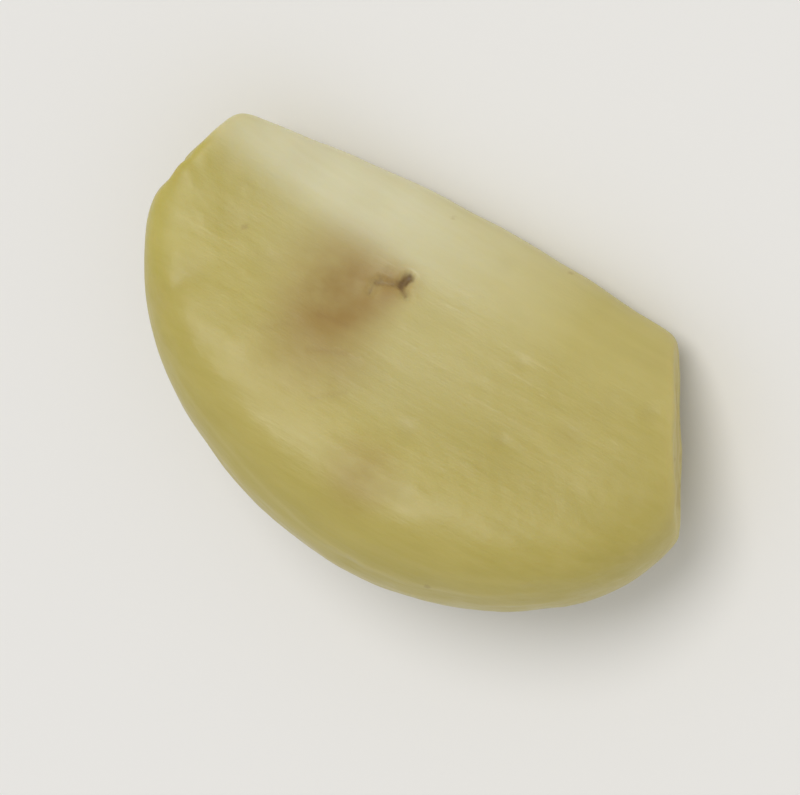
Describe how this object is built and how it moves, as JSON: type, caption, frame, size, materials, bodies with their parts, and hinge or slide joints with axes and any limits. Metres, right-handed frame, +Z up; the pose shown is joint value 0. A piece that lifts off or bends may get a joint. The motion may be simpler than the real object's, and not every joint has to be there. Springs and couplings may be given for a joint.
{
  "type": "garlic clove",
  "caption": "Peeled garlic clove lying on its side: a wedge with flat side faces, a rounded back, a blunt tip and a trimmed root end.",
  "frame": {"origin": "under the middle of the clove's bounding box, on the plane of the flat that it rests on", "axes": "+X from the trimmed root end to the tip, +Y from the thin inner edge to the round back, +Z up through the two side faces"},
  "size_m": [0.0282, 0.0162, 0.0108],
  "materials": {
    "flesh": "smooth, waxy and slightly translucent cream flesh with a yellow-green cast, a shallow brown bruise and fine lengthwise veins"
  },
  "bodies": {
    "root": {"clove": "flesh"}
  },
  "joints": []
}
